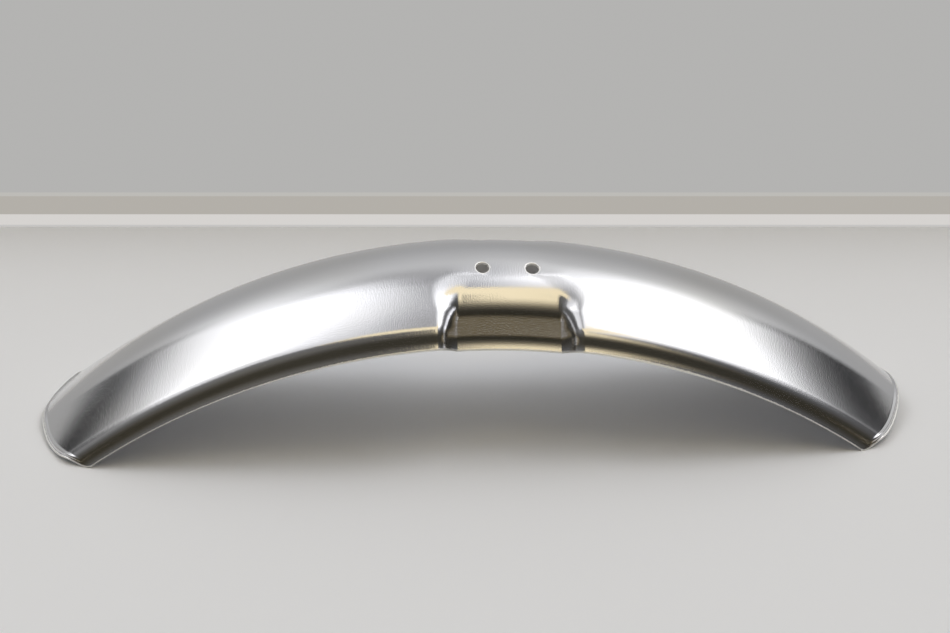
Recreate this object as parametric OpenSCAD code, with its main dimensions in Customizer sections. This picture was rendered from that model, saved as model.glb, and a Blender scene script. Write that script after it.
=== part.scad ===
// Short front mudguard pressed from one polished metal sheet.
// X runs along the length, Y across, Z up; the guard rests with both ends on Z = 0 and the
// origin is under the middle of its length and width.
// Angles along the arc are measured from the vertical through the wheel centre.

/* [Body] */

// radius of the crown line along the wheel
crown_r = 340; // [310:5:370]
// angle from the top to the corners of the left end
half_angle = 39.8; // [34:0.2:46]
// width over the two lower edges
guard_w = 112; // [104:1:120]
// sheet thickness
sheet_t = 1.2; // [0.8:0.1:1.8]

/* [Section] */

// radius of the crown across the width
crown_arc_r = 57; // [52:1:64]
// height from crown to lower edge at the top of the arc
rise_mid = 31.5; // [28:0.5:35]
// height from crown to lower edge at the left corners
rise_left = 21; // [18:0.5:26]
// height from crown to lower edge at the right corners
rise_right = 25; // [18:0.5:28]
// how far the edge stands out from the crease
band_out = 4.4; // [3.6:0.1:5.4]
// lean of the steep band from the vertical
band_lean = 22; // [18:1:28]
// length of the flared lower edge
flare_len = 4.2; // [3:0.2:5]
// lean of the flared edge from the vertical
flare_lean = 42; // [36:1:48]
// largest bend radius of the crease
crease_r = 10; // [4:0.5:12]

/* [Fork recess] */

// distance of the recess and the bolt holes from the middle of the arc
recess_x = 14; // [0:1:24]
// length of the flat recess wall
recess_len = 54; // [44:1:60]
// length of the blend at each side of the wall
recess_blend = 11.5; // [8:0.5:15]
// width over the two recess walls at their foot
recess_w = 85.4; // [82:0.2:90]
// how far the foot of the wall hangs below the plain edge
recess_drop = 7.6; // [5:0.2:9]
// lean of the recess wall from the vertical
wall_lean = 14; // [10:1:18]
// radius of the crown across the width at the recess
recess_arc_r = 47; // [44:1:52]
// radius between crown and recess wall
recess_r = 25; // [20:1:28]
// rounding of the upper corners of the recess
recess_corner = 20; // [14:1:24]
// length of the flared foot of the recess wall
foot_len = 7.5; // [5:0.5:9]
// lean of the foot at its edge
foot_lean = 40; // [28:1:46]

/* [Bolt holes] */

// diameter of the four bolt holes
hole_d = 7; // [5:0.5:9]
// hole spacing along the guard
hole_sx = 26; // [20:1:34]
// hole spacing across the guard
hole_sy = 36; // [28:1:42]

/* [Ends] */

// how far the rounded left end reaches past its corners
tongue_left = 20.4; // [12:0.2:26]
// how far the rounded right end reaches past its corners
tongue_right = 15; // [12:0.2:26]
// squareness of the rounded end
tongue_pow = 2.6; // [2:0.2:4]
// rounding of its two corners
tongue_round = 1.6; // [1:0.1:2]
// distance of the raised bead from the end
bead_in = 2.2; // [2:0.1:4]
// width of the raised bead
bead_w = 3; // [2.4:0.1:3.6]
// height of the raised bead
bead_h = 0.7; // [0.4:0.1:1.2]
// height of the turned-up lip at the end
lip_h = 0.2; // [0:0.1:0.6]

/* [Hidden] */

half_w = guard_w / 2;
rows_arc = 6;
rows_flank = 6;
rows_crease = 3;
rows_band = 3;
flare_from = 1;        // row of the band at which the flare starts
rows_half = rows_arc + rows_flank + rows_crease + rows_band;
row_n = 2 * rows_half + 1;
deg = 180 / PI;
// slopes of the steep band and of the flared edge, and the flare between them
band_s = 90 - band_lean;
flare_s = 90 - flare_lean;
flare_r = flare_len / (band_s - flare_s) * deg;
flare_size = flare_r * [sin(band_s) - sin(flare_s), cos(flare_s) - cos(band_s)];
band_len = (band_out - flare_size[0]) / cos(band_s);
band_h = flare_size[1] + band_len * sin(band_s);
wall_half = recess_len / 2;
crest_half = wall_half * 0.3;
crest_blend = recess_blend * 2;
cut_above = 20;
cut_below = 40;

// bead columns, counted from the end in mm along the arc
bead_b = bead_in;
groove_b = bead_b - bead_w / 2;
end_cols = [0, groove_b * 0.4, groove_b * 0.75, bead_b - bead_w / 2, bead_b - bead_w * 0.3, bead_b - bead_w * 0.1,
            bead_b + bead_w * 0.1, bead_b + bead_w * 0.3, bead_b + bead_w / 2, bead_b + bead_w];
// recess columns, in mm from the middle of the recess
blend_steps = [0, 0.12, 0.26, 0.42, 0.6, 0.8, 1];
wall_steps = [-1, -0.66, -0.33, 0, 0.33, 0.66, 1];
mid_cols = concat(
    [for (i = [len(blend_steps) - 1:-1:1]) -wall_half - recess_blend * blend_steps[i]],
    [for (w = wall_steps) w * wall_half],
    [for (i = [1:len(blend_steps) - 1]) wall_half + recess_blend * blend_steps[i]]);
left_fill = 15;
right_fill = 13;

// the right corners are set as low as the lowest point of the left end, so both ends rest
corner_z = cos(half_angle) * (crown_r - rise_left);
low_left = min([for (j = [0:rows_half]) let (a = end_angle(-1, j), p = row_point(-a, j))
    p[1] * cos(a)]);
half_angle_right = acos(min(corner_z, low_left) / (crown_r - rise_right));

function corner_a(side) = side < 0 ? half_angle : half_angle_right;
function rise(a) =
    rise_mid + ((a < 0 ? rise_left : rise_right) - rise_mid) * pow(a / corner_a(a), 2);
function unit(v) = v / norm(v);
function mix2(p, q, f) = p + (q - p) * f;

// slope of the flank that runs tangent from the crown arc to a given crease point
function flank_slope(yc, dc) =
    atan2(yc, crown_arc_r - dc)
    - acos(min(1, crown_arc_r / norm([yc, crown_arc_r - dc])));

// point of a bend between two slopes at a corner, f from 0 to 1
function bend(corner, s1, s2, r, f) =
    let (back = r * tan((s2 - s1) / 2), s = s1 + (s2 - s1) * f,
         c = corner - back * [cos(s1), sin(s1)] + r * [-sin(s1), cos(s1)])
    c + r * [sin(s), -cos(s)];

// bend radius of the crease between flank slope s1 and the band
function crease_at(s1) = min(crease_r, 0.85 * band_len / tan((band_s - s1) / 2));

// plain half section at arc angle a: list of [distance from the middle, drop below the crown]
function plain_half(a) =
    let (h = rise(a), yc = half_w - band_out, dc = h - band_h,
         s1 = flank_slope(yc, dc), r = crease_at(s1),
         p1 = crown_arc_r * [sin(s1), 1 - cos(s1)],
         corner = [yc, dc], f0 = [half_w, h] - flare_size,
         c0 = bend(corner, s1, band_s, r, 0), c1 = bend(corner, s1, band_s, r, 1))
    concat(
        [for (i = [0:rows_arc]) let (s = s1 * i / rows_arc) crown_arc_r * [sin(s), 1 - cos(s)]],
        [for (i = [1:rows_flank]) mix2(p1, c0, i / rows_flank)],
        [for (i = [1:rows_crease]) bend(corner, s1, band_s, r, i / rows_crease)],
        [for (i = [1:rows_band]) i <= flare_from ? mix2(c1, f0, i / flare_from)
            : let (s = band_s - (band_s - flare_s) * (i - flare_from) / (rows_band - flare_from))
            f0 + flare_r * [sin(band_s) - sin(s), cos(s) - cos(band_s)]]);

// lengths along the plain half section: crown arc, flank, crease and band
function plain_lengths(a) =
    let (h = rise(a), yc = half_w - band_out, dc = h - band_h,
         s1 = flank_slope(yc, dc), r = crease_at(s1), back = r * tan((band_s - s1) / 2))
    [crown_arc_r * s1 / deg, norm([yc, dc] - crown_arc_r * [sin(s1), 1 - cos(s1)]) - back,
     r * (band_s - s1) / deg, band_len - back + flare_len];
row_counts = [rows_arc, rows_flank, rows_crease, rows_band];
row_starts = [0, rows_arc, rows_arc + rows_flank, rows_arc + rows_flank + rows_crease];
function total(v, n) = n <= 0 ? 0 : v[n - 1] + total(v, n - 1);

// length along the plain section from the crown to row k
function row_length(lens, k) =
    let (g = k <= row_starts[1] ? 0 : k <= row_starts[2] ? 1 : k <= row_starts[3] ? 2 : 3)
    total(lens, g) + lens[g] * (k - row_starts[g]) / row_counts[g];

// half section through the fork recess: tight crown, bend, wall and flared foot
function recess_half(a) =
    let (lens = plain_lengths(a), all = total(lens, 4),
         sw = 90 - wall_lean, sf = 90 - foot_lean, r4 = foot_len / (sw - sf) * deg,
         gap = recess_arc_r - recess_r,
         ay = recess_w / 2 - r4 * (sin(sw) - sin(sf)) - recess_r * sin(sw),
         bd = rise(a) + recess_drop - r4 * (cos(sf) - cos(sw)) - recess_arc_r
              + recess_r * cos(sw),
         turn = acos(max(0.3, min(0.999, (ay * sin(sw) - bd * cos(sw)) / gap))),
         sa = sw - turn,
         n1 = recess_arc_r * sa / deg, n2 = recess_r * turn / deg,
         n3 = max(0.5, ay * cos(sw) + bd * sin(sw) + gap * sin(turn)),
         p1 = recess_arc_r * [sin(sa), 1 - cos(sa)],
         p2 = p1 + recess_r * [sin(sw) - sin(sa), cos(sa) - cos(sw)],
         p3 = p2 + n3 * [cos(sw), sin(sw)],
         scale = (n1 + n2 + n3 + foot_len) / all)
    [for (k = [0:rows_half]) let (t = row_length(lens, k) * scale)
        t <= n1 ? let (s = t / recess_arc_r * deg) recess_arc_r * [sin(s), 1 - cos(s)]
        : t <= n1 + n2 ? let (s = sa + (t - n1) / recess_r * deg)
            p1 + recess_r * [sin(s) - sin(sa), cos(sa) - cos(s)]
        : t <= n1 + n2 + n3 ? p2 + (t - n1 - n2) * [cos(sw), sin(sw)]
        : let (s = sw - (t - n1 - n2 - n3) / r4 * deg)
            p3 + r4 * [sin(sw) - sin(s), cos(s) - cos(sw)]];

// share of the recess section at m mm from the middle of the recess, at length t below the
// crown: short and soft up on the crown, long and crisp at the wall
function recess_share(m, t, shoulder) =
    let (c = max(0, min(1, (t - shoulder) / recess_corner + 0.4)),
         full = crest_half + (wall_half - crest_half) * sqrt(1 - (1 - c) * (1 - c)),
         u = max(0, min(1, (abs(m) - full) / (crest_blend + (recess_blend - crest_blend) * c))),
         v = 1 - u)
    v * v * (3 - 2 * v + c * (2 * v - 2));

// half section m mm from the middle of the recess
function half_at(a, m) =
    let (p = plain_half(a), q = recess_half(a), lens = plain_lengths(a))
    [for (i = [0:rows_half])
        mix2(p[i], q[i], recess_share(m, row_length(lens, i), lens[0]))];

// point of row j at arc angle a, where there is no recess: [y, radius]
function row_point(a, j) =
    let (k = j - rows_half, p = plain_half(a)[abs(k)]) [sign(k) * p[0], crown_r - p[1]];

// reach of the rounded end beyond the corner line, at distance y from the middle
function reach(side, y) =
    (side < 0 ? tongue_left : tongue_right)
    * pow(max(0, 1 - pow(min(1, abs(y) / half_w), tongue_pow)), 1 / tongue_round);

// arc angle of the end for each row, found in two passes
function end_angle(side, j) =
    let (c = corner_a(side), p = row_point(side * c, j), a = c + reach(side, p[0]) / p[1] * deg,
         q = row_point(side * a, j))
    c + reach(side, q[0]) / q[1] * deg;

left_a = [for (j = [0:row_n - 1]) end_angle(-1, j)];
right_a = [for (j = [0:row_n - 1]) end_angle(1, j)];
row_r = [for (j = [0:row_n - 1]) row_point(half_angle, j)[1]];
end_last = end_cols[len(end_cols) - 1];

// arc angles of the columns of row j left and right of the recess
function left_angles(j) =
    let (k = deg / row_r[j], l0 = -left_a[j] + end_last * k,
         l1 = asin((recess_x + mid_cols[0]) / row_r[j]))
    concat([for (b = end_cols) -left_a[j] + b * k],
           [for (i = [1:left_fill]) l0 + (l1 - l0) * i / (left_fill + 1)]);
function right_angles(j) =
    let (k = deg / row_r[j], r0 = right_a[j] - end_last * k,
         r1 = asin((recess_x + mid_cols[len(mid_cols) - 1]) / row_r[j]))
    concat([for (i = [1:right_fill]) r1 + (r0 - r1) * i / (right_fill + 1)],
           [for (i = [len(end_cols) - 1:-1:0]) right_a[j] - end_cols[i] * k]);

function on_arc(a, j) = let (p = row_point(a, j)) [p[1] * sin(a), p[0], p[1] * cos(a)];

// the recess columns stand square to the length, so the recess walls are upright
mid_halves = [for (m = mid_cols) half_at(asin((recess_x + m) / crown_r), m)];
function on_recess(i, j) =
    let (x = recess_x + mid_cols[i], k = j - rows_half, p = mid_halves[i][abs(k)],
         r = crown_r - p[1])
    [x, sign(k) * p[0], sqrt(r * r - x * x)];

col_n = 2 * len(end_cols) + left_fill + right_fill + len(mid_cols);

// raised bead and turned-up lip at b mm from the end, fading out below the crease
function ridge(b, j) =
    let (t = (b - bead_b) / (bead_w / 2), over = abs(j - rows_half) - rows_arc - rows_flank,
         fade = over <= 0 ? 1 : max(0, 1 - over / 2))
    fade * ((abs(t) < 1 ? bead_h * pow(cos(90 * t), 2) : 0)
            + (b < groove_b * 0.9 ? lip_h * (1 - b / groove_b / 0.9) : 0));

function end_dist(i) =
    i < len(end_cols) ? end_cols[i]
    : i >= col_n - len(end_cols) ? end_cols[col_n - 1 - i] : end_last;

base = [for (j = [0:row_n - 1]) concat(
    [for (a = left_angles(j)) on_arc(a, j)],
    [for (i = [0:len(mid_cols) - 1]) on_recess(i, j)],
    [for (a = right_angles(j)) on_arc(a, j)])];

// outward normal from the neighbouring points
function normal(j, i) =
    let (ja = max(0, j - 1), jb = min(row_n - 1, j + 1),
         ia = max(0, i - 1), ib = min(col_n - 1, i + 1))
    unit(cross(base[j][ib] - base[j][ia], base[jb][i] - base[ja][i]));

normals = [for (j = [0:row_n - 1]) [for (i = [0:col_n - 1]) normal(j, i)]];
outer = [for (j = [0:row_n - 1]) for (i = [0:col_n - 1])
    base[j][i] + ridge(end_dist(i), j) * normals[j][i]];
inner = [for (j = [0:row_n - 1]) for (i = [0:col_n - 1])
    base[j][i] + (ridge(end_dist(i), j) - sheet_t) * normals[j][i]];
half = row_n * col_n;
function at(j, i) = j * col_n + i;
rim_loop = concat(
    [for (i = [0:col_n - 1]) [0, i]],
    [for (j = [1:row_n - 1]) [j, col_n - 1]],
    [for (i = [col_n - 2:-1:0]) [row_n - 1, i]],
    [for (j = [row_n - 2:-1:1]) [j, 0]]);
rim_n = len(rim_loop);

// direction straight out of the sheet at a point of the rim
function rim_out(j, i) =
    let (jn = j == 0 ? 1 : j == row_n - 1 ? j - 1 : j,
         im = i == 0 ? 1 : i == col_n - 1 ? i - 1 : i)
    unit((jn == j ? [0, 0, 0] : unit(base[j][i] - base[jn][i]))
         + (im == i ? [0, 0, 0] : unit(base[j][i] - base[j][im])));

// the rim is rounded over the sheet's thickness
rim_pts = [for (f = [0.25, 0.75]) for (q = rim_loop) let (k = at(q[0], q[1]))
    mix2(outer[k], inner[k], f) + sheet_t * 0.43 * rim_out(q[0], q[1])];
points = concat(outer, inner, rim_pts);
floor_z = min([for (p = points) p[2]]);
mid_x = (min([for (p = points) p[0]]) + max([for (p = points) p[0]])) / 2;

quads_out = [for (j = [0:row_n - 2]) for (i = [0:col_n - 2])
    [at(j, i), at(j, i + 1), at(j + 1, i + 1), at(j + 1, i)]];
quads_in = [for (q = quads_out) [half + q[3], half + q[2], half + q[1], half + q[0]]];
// strips from the outer skin over the two rim lines to the inner skin
function rim_id(line, k) =
    let (q = rim_loop[k % rim_n], p = at(q[0], q[1]))
    line == 0 ? p : line == 3 ? half + p : 2 * half + (line - 1) * rim_n + k % rim_n;
quads_rim = [for (line = [0:2]) for (k = [0:rim_n - 1])
    [rim_id(line, k + 1), rim_id(line, k), rim_id(line + 1, k), rim_id(line + 1, k + 1)]];
triangles = [for (q = concat(quads_out, quads_in, quads_rim)) for (t = [0, 1])
    t == 0 ? [q[2], q[1], q[0]] : [q[3], q[2], q[0]]];

module mudguard() {
    color([0.82, 0.82, 0.84])
    difference() {
        translate([-mid_x, 0, -floor_z])
            polyhedron(points = points, faces = triangles, convexity = 6);
        for (sx = [-0.5, 0.5], sy = [-0.5, 0.5])
            translate([recess_x - mid_x + sx * hole_sx, sy * hole_sy,
                       crown_r - floor_z - cut_below])
                cylinder(h = cut_below + cut_above, d = hole_d, $fn = 48);
    }
}

mudguard();
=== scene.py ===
# Polished sheet-metal front mudguard: the smooth visible sheet, a pale table and studio light.
import math
import bpy
import numpy as np
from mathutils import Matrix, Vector


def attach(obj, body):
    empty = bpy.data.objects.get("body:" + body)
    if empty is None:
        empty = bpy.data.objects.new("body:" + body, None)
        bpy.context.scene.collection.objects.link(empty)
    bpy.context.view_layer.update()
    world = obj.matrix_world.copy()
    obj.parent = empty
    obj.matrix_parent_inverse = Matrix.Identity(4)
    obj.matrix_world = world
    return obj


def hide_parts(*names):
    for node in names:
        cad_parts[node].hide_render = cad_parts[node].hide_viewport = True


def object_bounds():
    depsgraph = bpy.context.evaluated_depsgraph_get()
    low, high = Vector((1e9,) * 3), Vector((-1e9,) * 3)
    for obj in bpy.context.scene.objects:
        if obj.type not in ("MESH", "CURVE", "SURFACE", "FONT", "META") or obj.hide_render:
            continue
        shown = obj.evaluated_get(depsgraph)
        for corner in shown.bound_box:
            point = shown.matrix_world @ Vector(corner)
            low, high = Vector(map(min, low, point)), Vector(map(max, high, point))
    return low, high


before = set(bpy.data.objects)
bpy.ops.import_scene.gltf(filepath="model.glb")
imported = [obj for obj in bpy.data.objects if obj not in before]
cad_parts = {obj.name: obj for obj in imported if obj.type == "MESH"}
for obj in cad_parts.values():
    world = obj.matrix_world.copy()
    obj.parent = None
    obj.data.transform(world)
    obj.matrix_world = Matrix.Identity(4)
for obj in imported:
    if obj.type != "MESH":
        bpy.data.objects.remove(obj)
cad_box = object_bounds()

# sheet, sizes in mm
CROWN_R = 340.0
HALF_ANGLE = math.radians(39.8)
GUARD_W = 112.0
SHEET_T = 1.2          # thickness
ARC_R = 57.0
RISE_MID = 31.5
RISE_LEFT = 21.0
RISE_RIGHT = 25.0
BAND_OUT = 4.4
BAND_S = math.radians(90 - 22.0)
FLARE_LEN = 4.2
FLARE_S = math.radians(90 - 42.0)
FLARE_FROM = 1 / 3      # share of the band's rows above the flare
CREASE_R = 10.0
FLANK_BOW = 0.05       # half the turn of the faintly rounded flank, in radians
RECESS_X = 14.0
RECESS_LEN = 54.0
RECESS_BLEND = 11.5
RECESS_W = 85.4
RECESS_DROP = 7.6
WALL_LEAN = math.radians(14.0)
RECESS_ARC_R = 47.0
RECESS_R = 25.0
RECESS_CORNER = 20.0
FOOT_LEN = 7.5
FOOT_LEAN = math.radians(40.0)
HOLE_D = 7.0
HOLE_SX = 26.0
HOLE_SY = 36.0
TONGUE = {-1: 20.4, 1: 15.0}
TONGUE_POW = 2.6
TONGUE_ROUND = 1.6
BEAD_IN = 2.2
BEAD_W = 3.0
BEAD_H = 0.7
LIP_H = 0.2
EASE = 0.22            # rounding of the hole rims
EASE_MID = EASE * 0.29  # how far the middle of that rounding lies from its corner
HALF_W = GUARD_W / 2
FLARE_R = FLARE_LEN / (BAND_S - FLARE_S)
FLARE_Y = FLARE_R * (math.sin(BAND_S) - math.sin(FLARE_S))
FLARE_D = FLARE_R * (math.cos(FLARE_S) - math.cos(BAND_S))
BAND_LEN = (BAND_OUT - FLARE_Y) / math.cos(BAND_S)
BAND_H = FLARE_D + BAND_LEN * math.sin(BAND_S)

# rows of the half section: part (0 crown arc, 1 flank, 2 crease, 3 band) and share of it
PATCH = 6.4            # half size of the square that holds the rings round a bolt hole
ARC_IN, ARC_OUT = 0.362, 0.785   # shares of the crown arc at that square's two sides


def steps(a, b, n):
    return list(np.linspace(a, b, n + 1))[1:]


ROWS = [(0, f) for f in [0.0] + steps(0, ARC_IN, 6) + steps(ARC_IN, ARC_OUT, 8) + steps(ARC_OUT, 1, 6)]
ROWS += [(1, f) for f in steps(0, 1, 16)]
ROWS += [(2, f) for f in steps(0, 1, 8)]
ROWS += [(3, f) for f in steps(0, FLARE_FROM, 3) + steps(FLARE_FROM, 0.97, 7) + [1.0]]
SEG = np.array([r[0] for r in ROWS])
FRAC = np.array([r[1] for r in ROWS])
NH = len(ROWS) - 1
CORNER = {-1: HALF_ANGLE, 1: HALF_ANGLE}


def bend(cy, cd, s1, s2, r, f):
    """Points of a bend of radius r between slopes s1 and s2 at a corner."""
    back = r * np.tan((s2 - s1) / 2)
    s = s1 + (s2 - s1) * f
    return (cy - back * np.cos(s1) - r * np.sin(s1) + r * np.sin(s),
            cd - back * np.sin(s1) + r * np.cos(s1) - r * np.cos(s))


def rise_at(a):
    a = np.asarray(a, float)
    left = RISE_MID + (RISE_LEFT - RISE_MID) * (a / CORNER[-1]) ** 2
    right = RISE_MID + (RISE_RIGHT - RISE_MID) * (a / CORNER[1]) ** 2
    return np.where(a < 0, left, right)


def flank_slope(rise):
    yc, dc = HALF_W - BAND_OUT, rise - BAND_H
    far = np.hypot(yc, ARC_R - dc)
    return yc, dc, np.arctan2(yc, ARC_R - dc) - np.arccos(ARC_R / far)


def crease_at(s1):
    return np.minimum(CREASE_R, 0.85 * BAND_LEN / np.tan((BAND_S - s1) / 2))


def plain_half(a, seg, frac):
    """Half section at arc angle a: distance from the middle and drop below the crown."""
    rise = rise_at(a)
    yc, dc, s1 = flank_slope(rise)
    r = crease_at(s1)
    sa, sb = s1 - FLANK_BOW, s1 + FLANK_BOW
    y0, d0 = bend(yc, dc, sb, BAND_S, r, 0.0)
    y1, d1 = bend(yc, dc, sb, BAND_S, r, 1.0)
    py, pd = ARC_R * np.sin(sa), ARC_R * (1 - np.cos(sa))
    by, bd = bend(yc, dc, sb, BAND_S, r, frac)
    # the flank turns evenly from slope sa to slope sb; q is where its two end tangents meet
    run = ((y0 - py) * np.sin(sb) - (d0 - pd) * np.cos(sb)) / math.sin(2 * FLANK_BOW)
    qy, qd = py + run * np.cos(sa), pd + run * np.sin(sa)
    w0, w1, w2 = (1 - frac) ** 2, 2 * frac * (1 - frac), frac ** 2
    f0y, f0d = HALF_W - FLARE_Y, rise - FLARE_D
    up = np.clip(frac / FLARE_FROM, 0, 1)
    s = BAND_S - (BAND_S - FLARE_S) * np.clip((frac - FLARE_FROM) / (1 - FLARE_FROM), 0, 1)
    ys = [ARC_R * np.sin(sa * frac), w0 * py + w1 * qy + w2 * y0, by,
          y1 + (f0y - y1) * up + FLARE_R * (math.sin(BAND_S) - np.sin(s))]
    ds = [ARC_R * (1 - np.cos(sa * frac)), w0 * pd + w1 * qd + w2 * d0, bd,
          d1 + (f0d - d1) * up + FLARE_R * (np.cos(s) - math.cos(BAND_S))]
    seg = seg + np.zeros(np.broadcast(a, frac).shape, int)
    return np.choose(seg, ys), np.choose(seg, ds)


def plain_lengths(a):
    """Lengths along the plain half section: crown arc, flank, crease, band."""
    rise = rise_at(a)
    yc, dc, s1 = flank_slope(rise)
    r = crease_at(s1)
    back = r * np.tan((BAND_S - s1) / 2)
    return [ARC_R * s1, np.hypot(yc - ARC_R * np.sin(s1), dc - ARC_R * (1 - np.cos(s1))) - back,
            r * (BAND_S - s1), BAND_LEN - back + FLARE_LEN]


def recess_half(a, t):
    """Half section through the fork recess at plain length t: tight crown, bend, wall, foot."""
    whole = sum(plain_lengths(a))
    sw, sf = math.pi / 2 - WALL_LEAN, math.pi / 2 - FOOT_LEAN
    r4 = FOOT_LEN / (sw - sf)
    gap = RECESS_ARC_R - RECESS_R
    ay = RECESS_W / 2 - r4 * (math.sin(sw) - math.sin(sf)) - RECESS_R * math.sin(sw)
    bd = (rise_at(a) + RECESS_DROP - r4 * (math.cos(sf) - math.cos(sw)) - RECESS_ARC_R
          + RECESS_R * math.cos(sw))
    turn = np.arccos(np.clip((ay * math.sin(sw) - bd * math.cos(sw)) / gap, 0.3, 0.999))
    sa = sw - turn
    n1, n2 = RECESS_ARC_R * sa, RECESS_R * turn
    n3 = np.maximum(0.5, ay * math.cos(sw) + bd * math.sin(sw) + gap * np.sin(turn))
    t = t * (n1 + n2 + n3 + FOOT_LEN) / whole
    p1y, p1d = RECESS_ARC_R * np.sin(sa), RECESS_ARC_R * (1 - np.cos(sa))
    p2y = p1y + RECESS_R * (math.sin(sw) - np.sin(sa))
    p2d = p1d + RECESS_R * (np.cos(sa) - math.cos(sw))
    p3y, p3d = p2y + n3 * math.cos(sw), p2d + n3 * math.sin(sw)
    e1, e2 = t / RECESS_ARC_R, sa + (t - n1) / RECESS_R
    e4 = sw - (t - n1 - n2 - n3) / r4
    where = [t <= n1, t <= n1 + n2, t <= n1 + n2 + n3]
    y = np.select(where, [RECESS_ARC_R * np.sin(e1), p1y + RECESS_R * (np.sin(e2) - np.sin(sa)),
                          p2y + (t - n1 - n2) * math.cos(sw)],
                  p3y + r4 * (math.sin(sw) - np.sin(e4)))
    d = np.select(where, [RECESS_ARC_R * (1 - np.cos(e1)), p1d + RECESS_R * (np.cos(sa) - np.cos(e2)),
                          p2d + (t - n1 - n2) * math.sin(sw)],
                  p3d + r4 * (np.cos(e4) - math.cos(sw)))
    return y, d


def recess_share(m, t, shoulder):
    """How much of the recess section holds m mm from its middle, at length t from the crown."""
    half = RECESS_LEN / 2
    c = np.clip((t - shoulder) / RECESS_CORNER + 0.4, 0, 1)
    full = 0.3 * half + 0.7 * half * np.sqrt(1 - (1 - c) ** 2)
    blend = 2 * RECESS_BLEND * (1 - c) + RECESS_BLEND * c
    v = 1 - np.clip((np.abs(m) - full) / blend, 0, 1)
    return v * v * (3 - 2 * v + c * (2 * v - 2))


def mixed_half(x, seg, frac):
    """Half section at x mm from the wheel centre, with the recess blended in."""
    a = np.arcsin(x / CROWN_R)
    lens = plain_lengths(a)
    starts = [0, lens[0], lens[0] + lens[1], lens[0] + lens[1] + lens[2]]
    t = np.select([seg == 0, seg == 1, seg == 2],
                  [starts[i] + lens[i] * frac for i in range(3)], starts[3] + lens[3] * frac)
    y, d = plain_half(a, seg, frac)
    y2, d2 = recess_half(a, t)
    f = recess_share(x - RECESS_X, t, lens[0])
    return y + (y2 - y) * f, d + (d2 - d) * f


def plain_point(a, k):
    y, d = plain_half(np.asarray(a, float), SEG[abs(k)], FRAC[abs(k)])
    return np.sign(k) * y, CROWN_R - d


def end_angle(side, k):
    """Arc angle at which row k meets the rounded end."""
    c = CORNER[side]

    def reach(y):
        v = 1 - min(1.0, abs(float(y)) / HALF_W) ** TONGUE_POW
        return TONGUE[side] * max(0.0, v) ** (1 / TONGUE_ROUND)
    y, r = plain_point(side * c, k)
    y2, _ = plain_point(side * (c + reach(y) / r), k)
    return c + reach(y2) / r


CORNER[1] = math.radians(39.112)      # right corners, set so that both ends rest on the table

bead0, bead1 = BEAD_IN - BEAD_W / 2, BEAD_IN + BEAD_W / 2
lip_end = bead0 * 0.9
END = np.array([0.0] + steps(0, lip_end, 7) + [bead0] + steps(bead0, bead1, 14)
               + steps(bead1, bead1 + 2.4, 3))
hx, wall_x = HOLE_SX / 2, RECESS_LEN / 2
MID = np.array([-wall_x - RECESS_BLEND] + steps(-wall_x - RECESS_BLEND, -wall_x, 18)
               + steps(-wall_x, -hx - PATCH, 5) + steps(-hx - PATCH, -hx + PATCH, 8)
               + steps(-hx + PATCH, hx - PATCH, 6) + steps(hx - PATCH, hx + PATCH, 8)
               + steps(hx + PATCH, wall_x, 5) + steps(wall_x, wall_x + RECESS_BLEND, 18))
LEFT_N, RIGHT_N = 110, 92
COLS = 2 * len(END) + LEFT_N + RIGHT_N + len(MID)
KS = np.arange(-NH, NH + 1)
MID0 = len(END) + LEFT_N


def build_grid():
    """Smooth outer skin before the bead, rows across by columns along, wheel centre at 0."""
    g = np.zeros((len(KS), COLS, 3))
    y, d = mixed_half((RECESS_X + MID)[None, :], SEG[:, None], FRAC[:, None])
    x = RECESS_X + MID
    for j, k in enumerate(KS):
        rr = float(plain_point(CORNER[-1], k)[1])
        la, ra = end_angle(-1, k), end_angle(1, k)
        l1, r1 = math.asin(x[0] / rr), math.asin(x[-1] / rr)
        left = np.concatenate([-la + END / rr, np.linspace(-la + END[-1] / rr, l1, LEFT_N + 2)[1:-1]])
        right = np.concatenate([np.linspace(r1, ra - END[-1] / rr, RIGHT_N + 2)[1:-1],
                                (ra - END / rr)[::-1]])
        for a, at in ((left, slice(0, MID0)), (right, slice(MID0 + len(MID), COLS))):
            yy, r = plain_point(a, k)
            g[j, at] = np.stack([r * np.sin(a), yy, r * np.cos(a)], -1)
        r = CROWN_R - d[abs(k)]
        g[j, MID0:MID0 + len(MID)] = np.stack(
            [x, np.sign(k) * y[abs(k)], np.sqrt(r * r - x * x)], -1)
    return g


def grid_normals(g):
    n = np.cross(np.gradient(g, axis=1), np.gradient(g, axis=0))
    return n / np.linalg.norm(n, axis=2, keepdims=True)


def ridge():
    """Height of bead and lip over the skin, rows by columns; both fade out over the crease."""
    b = np.full(COLS, 99.0)
    b[:len(END)] = END
    b[-len(END):] = END[::-1]
    t = np.clip((b - BEAD_IN) / (BEAD_W / 2), -1, 1)
    up = BEAD_H * np.cos(math.pi / 2 * t) ** 2
    up = up + np.where(b < lip_end, LIP_H * (1 - b / bead0 / 0.9), 0)
    s = np.where(SEG < 2, 0.0, np.where(SEG == 2, FRAC, 1.0))[np.abs(KS)]
    return (1 - s)[:, None] * up[None, :]


grid = build_grid()
nrm = grid_normals(grid)
lift = ridge()[..., None]
outer = grid + lift * nrm
inner = outer - SHEET_T * nrm
n_rows, n_cols = grid.shape[:2]
rim_loop = ([(0, i) for i in range(n_cols)] + [(j, n_cols - 1) for j in range(1, n_rows)]
            + [(n_rows - 1, i) for i in range(n_cols - 2, -1, -1)]
            + [(j, 0) for j in range(n_rows - 2, 0, -1)])


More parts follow.
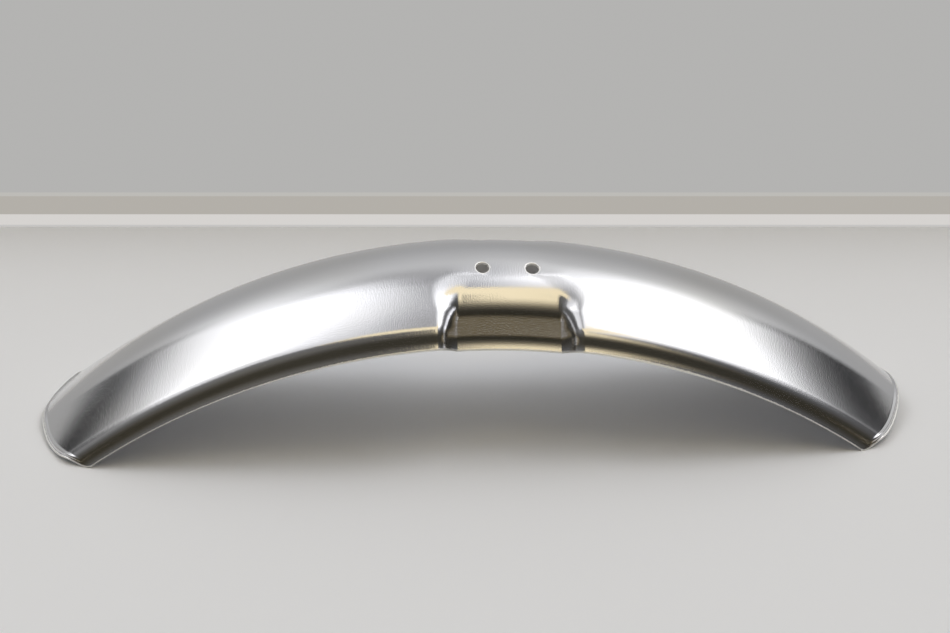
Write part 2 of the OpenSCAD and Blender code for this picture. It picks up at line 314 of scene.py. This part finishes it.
def rim_out(j, i):
    """Direction straight out of the sheet at a point of its rim."""
    jn = 1 if j == 0 else j - 1 if j == n_rows - 1 else j
    im = 1 if i == 0 else i - 1 if i == n_cols - 1 else i
    v = np.zeros(3)
    if jn != j:
        e = grid[j, i] - grid[jn, i]
        v = v + e / np.linalg.norm(e)
    if im != i:
        e = grid[j, i] - grid[j, im]
        v = v + e / np.linalg.norm(e)
    return v / np.linalg.norm(v)


rim_dirs = [rim_out(j, i) for j, i in rim_loop]
rim_lines = []
# lines of the rounded cut edge: share of the way through the sheet, and mm out from it
RIM = ((0.08, 0.15), (0.2, 0.4), (0.4, 0.51), (0.6, 0.51), (0.8, 0.4), (0.92, 0.15))
for share, push in RIM:
    rim_lines.append([outer[j, i] * (1 - share) + inner[j, i] * share + push * e
                      for (j, i), e in zip(rim_loop, rim_dirs)])
cloud = np.concatenate([outer.reshape(-1, 3), inner.reshape(-1, 3)] + [np.array(q) for q in rim_lines])
low = cloud[:, 2].max() - cad_box[1][2] * 1000
mid_x = (cloud[:, 0].min() + cloud[:, 0].max()) / 2
shift = np.array([-mid_x, 0.0, -low])

FINE_N = 60            # steps of a fine half section over the crown arc, and over the flank
FINE_SEG = np.repeat([0, 1], FINE_N)
FINE_FRAC = np.concatenate([np.linspace(0, 1, FINE_N, endpoint=False), np.linspace(0, 1, FINE_N)])


def skin_z(x, y, depth=0.0):
    """Height of the outer skin over points (x, y) near the crown, or depth mm inside it."""
    def height(xx, yy):
        ys, ds = mixed_half(xx[None, :], FINE_SEG[:, None], FINE_FRAC[:, None])
        d = np.array([np.interp(abs(v), ys[:, n], ds[:, n]) for n, v in enumerate(yy)])
        return np.sqrt((CROWN_R - d) ** 2 - xx * xx)
    z = height(x, y)
    if depth:
        gx = (height(x + 0.2, y) - height(x - 0.2, y)) / 0.4
        gy = (height(x, y + 0.2) - height(x, y - 0.2)) / 0.4
        z = z - depth * np.sqrt(1 + gx * gx + gy * gy)
    return z


verts, faces = [], []


def add(p):
    """Take a point into the part's frame, never past the box of the plain model."""
    verts.append(np.clip((p + shift) / 1000.0, cad_box[0], cad_box[1]).tolist())
    return len(verts) - 1


idx = {}
for name, skin in (("out", outer), ("in", inner)):
    base = len(verts)
    for p in skin.reshape(-1, 3):
        add(p)
    idx[name] = base + np.arange(n_rows * n_cols).reshape(n_rows, n_cols)

# squares round the bolt holes, left out of the grid and filled with rings
arc_a = int(np.argmin(np.abs(FRAC[SEG == 0] - ARC_IN)))
arc_b = int(np.argmin(np.abs(FRAC[SEG == 0] - ARC_OUT)))
blocks = []
for sy in (-1, 1):
    ja, jb = sorted((NH + sy * arc_a, NH + sy * arc_b))
    for sx in (-1, 1):
        ia = MID0 + int(np.argmin(np.abs(MID - (sx * hx - PATCH))))
        ib = MID0 + int(np.argmin(np.abs(MID - (sx * hx + PATCH))))
        blocks.append((ja, jb, ia, ib, RECESS_X + sx * hx, sy * HOLE_SY / 2))
skip = np.zeros((n_rows - 1, n_cols - 1), bool)
for ja, jb, ia, ib, _, _ in blocks:
    skip[ja:jb, ia:ib] = True

for j in range(n_rows - 1):
    for i in range(n_cols - 1):
        if skip[j, i]:
            continue
        o, q = idx["out"], idx["in"]
        faces.append((o[j, i], o[j, i + 1], o[j + 1, i + 1], o[j + 1, i]))
        faces.append((q[j + 1, i], q[j + 1, i + 1], q[j, i + 1], q[j, i]))

RINGS = (0.72, 0.47, 0.26, 0.1, 0.0)   # from the square's border in to the hole's rim
for ja, jb, ia, ib, cx, cy in blocks:
    loop = ([(ja, i) for i in range(ia, ib)] + [(j, ib) for j in range(ja, jb)]
            + [(jb, i) for i in range(ib, ia, -1)] + [(j, ia) for j in range(jb, ja, -1)])
    rim = {}
    for name, depth in (("out", 0.0), ("in", SHEET_T)):
        skin = outer if name == "out" else inner
        bnd = np.array([skin[j, i] for j, i in loop])
        ang = np.arctan2(bnd[:, 1] - cy, bnd[:, 0] - cx)
        prev = [int(idx[name][j, i]) for j, i in loop]
        rad = HOLE_D / 2 + EASE
        for f in RINGS:
            x = (cx + rad * np.cos(ang)) * (1 - f) + bnd[:, 0] * f
            y = (cy + rad * np.sin(ang)) * (1 - f) + bnd[:, 1] * f
            z = skin_z(x, y, depth)
            cur = [add(np.array(p)) for p in zip(x, y, z)]
            m = len(cur)
            for t in range(m):
                quad = (prev[t], prev[(t + 1) % m], cur[(t + 1) % m], cur[t])
                faces.append(quad if name == "out" else quad[::-1])
            prev = cur
        rim[name] = (prev, np.stack([x, y, z], -1), ang)
    # wall of the hole, with an eased rim at both faces
    (po, co, ang), (pi_, ci, _) = rim["out"], rim["in"]
    x = cx + HOLE_D / 2 * np.cos(ang)
    y = cy + HOLE_D / 2 * np.sin(ang)
    top = skin_z(x, y) - EASE
    bot = skin_z(x, y, SHEET_T) + EASE
    xm = cx + (HOLE_D / 2 + EASE_MID) * np.cos(ang)
    ym = cy + (HOLE_D / 2 + EASE_MID) * np.sin(ang)
    rings = [po,
             [add(np.array(p)) for p in zip(xm, ym, skin_z(xm, ym) - EASE_MID)],
             [add(np.array(p)) for p in zip(x, y, top)],
             [add(np.array(p)) for p in zip(x, y, bot)],
             [add(np.array(p)) for p in zip(xm, ym, skin_z(xm, ym, SHEET_T) + EASE_MID)],
             pi_]
    for a, b in zip(rings[:-1], rings[1:]):
        m = len(a)
        for t in range(m):
            faces.append((a[t], a[(t + 1) % m], b[(t + 1) % m], b[t]))

# rounded cut edge all round
lines = [[int(idx["out"][j, i]) for j, i in rim_loop]]
lines += [[add(q) for q in line] for line in rim_lines]
lines += [[int(idx["in"][j, i]) for j, i in rim_loop]]
m = len(rim_loop)
for p, q in zip(lines[:-1], lines[1:]):
    for t in range(m):
        b = (t + 1) % m
        faces.append((p[b], p[t], q[t], q[b]))

mesh = bpy.data.meshes.new("guard_sheet")
mesh.from_pydata(verts, [], [tuple(int(v) for v in f) for f in faces])
mesh.validate()
mesh.polygons.foreach_set("use_smooth", [True] * len(mesh.polygons))
sheet = bpy.data.objects.new("guard_sheet", mesh)
bpy.context.scene.collection.objects.link(sheet)
# hard edges at the cut rim
mesh.update()
mesh.set_sharp_from_angle(angle=math.radians(60))

uv = mesh.uv_layers.new(name="sheet_map")
co = np.array([v.co[:] for v in mesh.vertices])
theta = np.arctan2(co[:, 0] + mid_x / 1000, co[:, 2] + low / 1000)
loops = np.zeros(len(mesh.loops), int)
mesh.loops.foreach_get("vertex_index", loops)
radial = np.hypot(co[:, 0] + mid_x / 1000, co[:, 2] + low / 1000)
girth = np.sign(co[:, 1]) * (np.abs(co[:, 1]) + (CROWN_R / 1000 - radial))
flat = np.stack([theta[loops] * CROWN_R / 1000 + 0.5, girth[loops] + 0.5], -1)
uv.data.foreach_set("uv", flat.reshape(-1))


# second map: u is the distance to the nearest cut edge
def along_sheet(g, axis):
    """Distance along the sheet to the nearer of its two edges on this axis."""
    step = np.linalg.norm(np.diff(g, axis=axis), axis=2)
    run = np.cumsum(np.insert(step, 0, 0.0, axis=axis), axis=axis)
    return np.minimum(run, run.take([-1], axis=axis) - run)


from_edge = np.zeros(len(co))
to_rim = np.minimum(along_sheet(grid, 0), along_sheet(grid, 1)).reshape(-1) / 1000
from_edge[:2 * len(to_rim)] = np.tile(to_rim, 2)
near = np.full(len(co), 1.0)
for _, _, _, _, cx, cy in blocks:
    off_x = co[:, 0] - (cx + shift[0]) / 1000
    near = np.minimum(near, np.abs(np.hypot(off_x, co[:, 1] - cy / 1000) - HOLE_D / 2000))
ring = slice(2 * len(to_rim), lines[1][0])
from_edge[ring] = near[ring]
edge_uv = mesh.uv_layers.new(name="edge_map")
edge_uv.data.foreach_set("uv", np.stack([from_edge[loops], 0 * from_edge[loops]], -1).reshape(-1))

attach(sheet, "root")
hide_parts("mudguard")


# polished metal
def node(tree, kind, **inputs):
    n = tree.nodes.new(kind)
    for key, value in inputs.items():
        setattr(n, key, value)
    return n


def polished_metal():
    mat = bpy.data.materials.new("polished_sheet")
    mat.use_nodes = True
    t = mat.node_tree
    t.nodes.clear()
    out = node(t, "ShaderNodeOutputMaterial")
    bsdf = node(t, "ShaderNodeBsdfPrincipled")
    bsdf.inputs["Metallic"].default_value = 1.0
    t.links.new(bsdf.outputs[0], out.inputs[0])
    tex = node(t, "ShaderNodeUVMap")
    tex.uv_map = "sheet_map"

    def noise(scale, detail):
        mp = node(t, "ShaderNodeMapping")
        mp.inputs["Scale"].default_value = scale
        t.links.new(tex.outputs[0], mp.inputs[0])
        n = node(t, "ShaderNodeTexNoise")
        n.inputs["Scale"].default_value = 1.0
        n.inputs["Detail"].default_value = detail
        t.links.new(mp.outputs[0], n.inputs["Vector"])
        return n.outputs[0]

    def bump(height, strength, distance, under=None):
        n = node(t, "ShaderNodeBump")
        n.inputs["Strength"].default_value = strength
        n.inputs["Distance"].default_value = distance
        t.links.new(height, n.inputs["Height"])
        if under is not None:
            t.links.new(under, n.inputs["Normal"])
        return n.outputs[0]

    def spread(value, lo, hi, to_lo, to_hi):
        n = node(t, "ShaderNodeMapRange")
        t.links.new(value, n.inputs["Value"])
        for key, v in (("From Min", lo), ("From Max", hi), ("To Min", to_lo), ("To Max", to_hi)):
            n.inputs[key].default_value = v
        return n.outputs[0]

    # fine polishing lines across the guard: tight along the length, long across it
    lines = noise((1800, 140, 1), 3.0)
    grain = noise((1300, 950, 1), 2.0)
    wave = noise((26, 20, 1), 1.0)
    haze = noise((9, 14, 1), 2.0)
    rough = node(t, "ShaderNodeMath", operation="ADD")
    t.links.new(spread(lines, 0.3, 0.7, 0.06, 0.12), rough.inputs[0])
    t.links.new(spread(haze, 0.35, 0.65, 0.0, 0.04), rough.inputs[1])
    # cut edges and hole rims: rougher worn metal, and a lighter base colour there that is a painted
    # highlight along them
    edge = node(t, "ShaderNodeUVMap")
    edge.uv_map = "edge_map"
    along = node(t, "ShaderNodeSeparateXYZ")
    t.links.new(edge.outputs[0], along.inputs[0])
    ragged = node(t, "ShaderNodeMath", operation="MULTIPLY")
    t.links.new(along.outputs[0], ragged.inputs[0])
    t.links.new(spread(noise((400, 400, 1), 2.0), 0.3, 0.7, 0.75, 1.5), ragged.inputs[1])
    worn_and_glint = spread(ragged.outputs[0], 0.0003, 0.0011, 1.0, 0.0)
    dull = node(t, "ShaderNodeMath", operation="MULTIPLY_ADD")
    t.links.new(worn_and_glint, dull.inputs[0])
    dull.inputs[1].default_value = 0.3
    t.links.new(rough.outputs[0], dull.inputs[2])
    t.links.new(dull.outputs[0], bsdf.inputs["Roughness"])
    broad = bump(wave, 0.3, 0.0004)
    t.links.new(bump(grain, 0.5, 0.00008, bump(lines, 0.5, 0.00005, broad)), bsdf.inputs["Normal"])
    # slightly duller, browner metal in places
    tone = node(t, "ShaderNodeMix", data_type="RGBA")
    t.links.new(spread(haze, 0.4, 0.75, 0.0, 1.0), tone.inputs[0])
    tone.inputs[6].default_value = (0.703, 0.704, 0.724, 1)
    tone.inputs[7].default_value = (0.65, 0.642, 0.632, 1)
    # lighter metal colour at the rims: partly wear, partly a painted highlight line along the edges
    # and hole rims
    worn_and_glint_colour = node(t, "ShaderNodeMix", data_type="RGBA")
    t.links.new(worn_and_glint, worn_and_glint_colour.inputs[0])
    t.links.new(tone.outputs[2], worn_and_glint_colour.inputs[6])
    worn_and_glint_colour.inputs[7].default_value = (0.95, 0.94, 0.91, 1)
    t.links.new(worn_and_glint_colour.outputs[2], bsdf.inputs["Base Color"])
    return mat


mesh.materials.append(polished_metal())


# table and wall
CAM_EL = math.radians(24.89)
CAM_AZ = math.radians(2.77)


def plain(name, color, rough=0.6):
    mat = bpy.data.materials.new(name)
    mat.use_nodes = True
    b = mat.node_tree.nodes["Principled BSDF"]
    b.inputs["Base Color"].default_value = (*color, 1)
    b.inputs["Roughness"].default_value = rough
    b.inputs["Specular IOR Level"].default_value = 0.2
    return mat


def backdrop_paint(name, color):
    """White board whose plain colour shows evenly to the camera and in the metal."""
    mat = plain(name, (0.85, 0.85, 0.84), 0.8)
    t = mat.node_tree
    path = node(t, "ShaderNodeLightPath")
    seen = node(t, "ShaderNodeMath", operation="MAXIMUM")
    t.links.new(path.outputs["Is Camera Ray"], seen.inputs[0])
    t.links.new(path.outputs["Is Glossy Ray"], seen.inputs[1])
    flat = node(t, "ShaderNodeEmission")
    flat.inputs["Color"].default_value = (*color, 1)
    flat.inputs["Strength"].default_value = 1.0
    mix = node(t, "ShaderNodeMixShader")
    t.links.new(seen.outputs[0], mix.inputs[0])
    t.links.new(t.nodes["Principled BSDF"].outputs[0], mix.inputs[1])
    t.links.new(flat.outputs[0], mix.inputs[2])
    # a single face shows only on its front, so that views from behind look past it
    side = node(t, "ShaderNodeNewGeometry")
    front_only = node(t, "ShaderNodeMixShader")
    t.links.new(side.outputs["Backfacing"], front_only.inputs[0])
    t.links.new(mix.outputs[0], front_only.inputs[1])
    t.links.new(node(t, "ShaderNodeBsdfTransparent").outputs[0], front_only.inputs[2])
    t.links.new(front_only.outputs[0], t.nodes["Material Output"].inputs[0])
    return mat


def slab(name, lo, hi, mat):
    """Box on the stage, square to the camera; only its near face where it has no depth."""
    (x0, y0, z0), (x1, y1, z1) = lo, hi
    vs = [(x, y, z) for x in (x0, x1) for y in (y0, y1) for z in (z0, z1)]
    fs = [(0, 1, 3, 2), (4, 6, 7, 5), (0, 4, 5, 1), (2, 3, 7, 6), (0, 2, 6, 4), (1, 5, 7, 3)]
    if y0 == y1:
        vs, fs = [(x0, y0, z0), (x1, y0, z0), (x1, y0, z1), (x0, y0, z1)], [(0, 1, 2, 3)]
    me = bpy.data.meshes.new(name)
    me.from_pydata(vs, [], fs)
    ob = bpy.data.objects.new(name, me)
    me.materials.append(mat)
    ob.rotation_euler = (0.0, 0.0, -CAM_AZ)
    bpy.context.scene.collection.objects.link(ob)
    return ob


WALL_Y = 0.254
table_mat = plain("table_white", (0.9, 0.91, 0.935), 0.5)
slab("floor", (-3, -3, -0.05), (3, WALL_Y + 0.2, 0.0), table_mat)
# strips and boards behind the table: name, near and far y from the wall, low and high z, colour
BOARDS = (("joint", "joint_grey", -0.0025, 0.0, 0.0, 0.0004, (0.56, 0.55, 0.54)),
          # the kerb's front, the ledge on its top and the lip each emit a fixed colour with light and
          # shade painted in: lit front and lip lighter, shaded top darker
          ("kerb", "kerb_lit_front", 0.0, 0.1, 0.0, 0.0072, (0.67, 0.65, 0.63)),
          ("ledge", "ledge_shaded_top", 0.0004, 0.1, 0.0072, 0.0076, (0.452, 0.43, 0.395)),
          ("lip", "lip_lit_front", 0.028, 0.1, 0.0076, 0.0099, (0.51, 0.5, 0.475)),
          ("backdrop", "wall_grey", 0.0285, 0.0285, 0.0099, 0.17, (0.456, 0.453, 0.445)))
for name, paint, y0, y1, z0, z1, colour in BOARDS:
    slab(name, (-3, WALL_Y + y0, z0), (3, WALL_Y + y1, z1), backdrop_paint(paint, colour))

# camera
CAM_D = 1.6667
CAM_F = math.exp(0.634) * 1666.7
AIM = Vector((0.0015, 0.0, 0.0564))
look = Vector((math.sin(CAM_AZ) * math.cos(CAM_EL), math.cos(CAM_AZ) * math.cos(CAM_EL),
               -math.sin(CAM_EL)))
cam_data = bpy.data.cameras.new("camera")
cam_data.sensor_fit = "HORIZONTAL"
cam_data.sensor_width = 36.0
cam_data.lens = 36.0 * CAM_F / 950.0
cam_data.clip_end = 50
cam = bpy.data.objects.new("camera", cam_data)
bpy.context.scene.collection.objects.link(cam)
cam.location = AIM - look * CAM_D
cam.rotation_euler = look.to_track_quat("-Z", "Y").to_euler()
bpy.context.scene.camera = cam

# light
world = bpy.data.worlds.new("studio")
bpy.context.scene.world = world
world.use_nodes = True
wt = world.node_tree
wt.nodes.clear()
w_out = node(wt, "ShaderNodeOutputWorld")
w_bg = node(wt, "ShaderNodeBackground")
wt.links.new(w_bg.outputs[0], w_out.inputs[0])
w_tex = node(wt, "ShaderNodeTexCoord")


def direction(az, el):
    """Unit vector: azimuth 0 is +Y, 90 is +X; elevation up from the table, in degrees."""
    a, e = math.radians(az), math.radians(el)
    return (math.sin(a) * math.cos(e), math.cos(a) * math.cos(e), math.sin(e))


def link(socket, value):
    if isinstance(value, (int, float)):
        socket.default_value = value
    else:
        wt.links.new(value, socket)


def calc(op, a, b=0.0, c=0.0):
    """One math node; a, b and c are numbers or outputs."""
    n = node(wt, "ShaderNodeMath", operation=op)
    for socket, value in zip(n.inputs, (a, b, c)):
        link(socket, value)
    return n.outputs[0]


def rise_over(x, lo, hi):
    """0 below lo, 1 above hi, smooth between."""
    n = node(wt, "ShaderNodeMapRange", interpolation_type="SMOOTHSTEP")
    link(n.inputs["Value"], x)
    n.inputs["From Min"].default_value = lo
    n.inputs["From Max"].default_value = hi
    return n.outputs[0]


def within(x, lo, hi, soft):
    up = rise_over(x, lo - soft, lo + soft)
    down = calc("SUBTRACT", 1.0, rise_over(x, hi - soft, hi + soft))
    return calc("MULTIPLY", up, down)


def tint(value, colour):
    n = node(wt, "ShaderNodeVectorMath", operation="SCALE")
    n.inputs[0].default_value = colour
    link(n.inputs["Scale"], value)
    return n.outputs[0]


def plus(a, b):
    n = node(wt, "ShaderNodeVectorMath", operation="ADD")
    wt.links.new(a, n.inputs[0])
    wt.links.new(b, n.inputs[1])
    return n.outputs[0]


def spot(az, el, sharp):
    """1 in a direction, falling off smoothly with the angle from it."""
    dot = node(wt, "ShaderNodeVectorMath", operation="DOT_PRODUCT")
    dot.inputs[1].default_value = direction(az, el)
    wt.links.new(w_tex.outputs["Generated"], dot.inputs[0])
    off = calc("MULTIPLY", calc("SUBTRACT", dot.outputs["Value"], 1.0), sharp)
    return calc("EXPONENT", off)


def glow(az, el, sharp, colour):
    return tint(spot(az, el, sharp), colour)


def blend(a, b, share):
    """Colour a where share is 0, colour b where it is 1; both are outputs."""
    n = node(wt, "ShaderNodeMix", data_type="VECTOR")
    wt.links.new(share, n.inputs[0])
    wt.links.new(a, n.inputs[4])
    wt.links.new(b, n.inputs[5])
    return n.outputs[1]


def under_one(x):
    return calc("SUBTRACT", 1.0, x)


split = node(wt, "ShaderNodeSeparateXYZ")
wt.links.new(w_tex.outputs["Generated"], split.inputs[0])
dx, dy, dz = split.outputs
up = calc("MAXIMUM", dz, 0.02)
over_x, over_y = calc("DIVIDE", dx, up), calc("DIVIDE", dy, up)
IN_DEG = 57.2958
elev = calc("MULTIPLY", calc("ARCSINE", dz), IN_DEG)
turn = calc("MULTIPLY", calc("ARCTAN2", dx, dy), IN_DEG)
aside = calc("ABSOLUTE", turn)


def panel(x, x0, x1, y0, y1, soft, colour):
    """Overhead studio panel, given by where it lies one unit above the table."""
    mask = calc("MULTIPLY", within(x, x0, x1, soft), within(over_y, y0, y1, soft))
    return tint(mask, colour)


# reflector wall behind, open to the ceiling; it ends at both sides
wide = calc("MULTIPLY", under_one(rise_over(turn, 49, 57)), rise_over(turn, -50, -44))
above = calc("MULTIPLY", rise_over(elev, 25, 48), rise_over(dy, -0.05, 0.15))
wall_share = calc("MAXIMUM", wide, above)
level = calc("ADD", 0.454, calc("MULTIPLY", rise_over(elev, 15, 60), 0.204))
corner = calc("MULTIPLY", rise_over(aside, 15, 50), rise_over(elev, 20, 45))
level = calc("ADD", level, calc("MULTIPLY", corner, 0.225))
gap = calc("MULTIPLY", rise_over(elev, 50, 80), under_one(rise_over(aside, 34, 80)))
level = calc("MULTIPLY", level, under_one(calc("MULTIPLY", gap, 0.9)))
sky = blend(tint(0.004, (1.0, 1.0, 1.0)), tint(level, (1.0, 1.0, 0.99)), wall_share)
# two soft panels overhead
over_left = calc("MULTIPLY", over_x, -1.0)
sky = plus(sky, panel(over_x, 0.2, 0.95, -0.4, 0.42, 0.45, (1.95, 1.95, 1.98)))
sky = plus(sky, panel(over_left, 0.165, 1.0, -0.3, 0.36, 0.12, (0.75, 0.75, 0.77)))
sky = plus(sky, glow(115, 66, 6.5, (0.36, 0.36, 0.367)))
sky = plus(sky, glow(264, 46, 8.9, (0.33, 0.33, 0.33)))
sky = plus(sky, glow(298, 48, 45, (0.5, 0.5, 0.51)))
sky = blend(sky, tint(0.004, (1.0, 1.0, 1.0)), calc("MULTIPLY", spot(280, 33, 35), 0.8))
# warm room in front: dark low down, gold above, cream near the ceiling
forward = calc("MULTIPLY", dy, -1.0)
front = rise_over(forward, 0.0, 0.1)
off = calc("MULTIPLY", calc("ARCTAN2", dx, forward), IN_DEG)
off = calc("ABSOLUTE", calc("SUBTRACT", off, 14.0))
spread = calc("MULTIPLY", rise_over(elev, 54, 70), 50)
warm = under_one(rise_over(calc("SUBTRACT", off, spread), 9, 20))
warm = calc("MULTIPLY", rise_over(elev, 18, 32), warm)
warm = calc("MULTIPLY", calc("MULTIPLY", front, warm), under_one(rise_over(elev, 71, 77)))
gold = tint(calc("ADD", 0.2, calc("MULTIPLY", rise_over(elev, 26, 50), 1.05)), (1.0, 0.86, 0.58))
sky = blend(sky, gold, warm)
dim = calc("MULTIPLY", front, under_one(rise_over(elev, 18, 34)))
sky = plus(sky, tint(dim, (0.025, 0.021, 0.011)))
sky = plus(sky, glow(206, 37, 20, (0.1, 0.092, 0.075)))
sky = plus(sky, glow(78, 10, 60.0, (1.6, 1.6, 1.65)))
sky = plus(sky, glow(285, 6, 60.0, (1.6, 1.6, 1.65)))
skirting = calc("MULTIPLY", front, under_one(rise_over(elev, 3.0, 5.5)))
sky = plus(sky, tint(skirting, (0.21, 0.17, 0.105)))
wt.links.new(sky, w_bg.inputs[0])
w_bg.inputs[1].default_value = 1.0

scene = bpy.context.scene
scene.view_settings.view_transform = "Standard"
